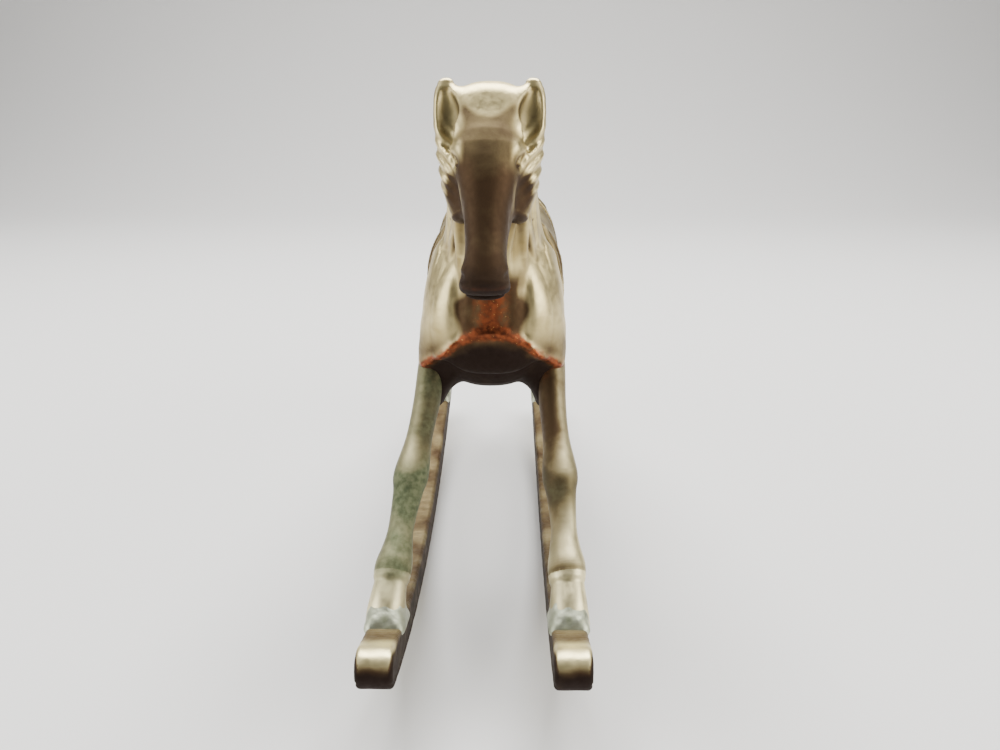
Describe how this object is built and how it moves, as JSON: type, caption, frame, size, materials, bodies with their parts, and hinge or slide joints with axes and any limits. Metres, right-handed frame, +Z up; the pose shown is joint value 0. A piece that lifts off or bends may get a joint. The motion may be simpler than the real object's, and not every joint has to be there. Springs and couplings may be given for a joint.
{
  "type": "rocking horse figurine",
  "caption": "Cast brass horse figurine with a saddle, standing on curved rockers; hollow body shells, solid legs plugged in and soldered to the rockers.",
  "frame": {"origin": "on the floor, below the middle of the rockers' length and midway between them", "axes": "+Z up, the horse faces -Y, its own left side is +X"},
  "size_m": [0.0422, 0.1518, 0.1099],
  "materials": {
    "horse_brass": "aged satin, brown patina in the hollows and on the face and chest",
    "saddle_brass": "aged satin, tooled",
    "leg_brass": "aged satin with patches of verdigris",
    "rocker_brass": "filed satin, brown at the tips",
    "solder": "dull grey-green"
  },
  "bodies": {
    "root": {"body_shell_left": "horse_brass", "body_shell_right": "horse_brass", "saddle": "saddle_brass", "tail": "horse_brass", "foreleg_left": "leg_brass", "foreleg_right": "leg_brass", "hindleg_left": "leg_brass", "hindleg_right": "leg_brass", "rocker_left": "rocker_brass", "rocker_right": "rocker_brass", "solder_collar_front_left": "solder", "solder_collar_front_right": "solder", "solder_collar_rear_left": "solder", "solder_collar_rear_right": "solder"}
  },
  "joints": []
}
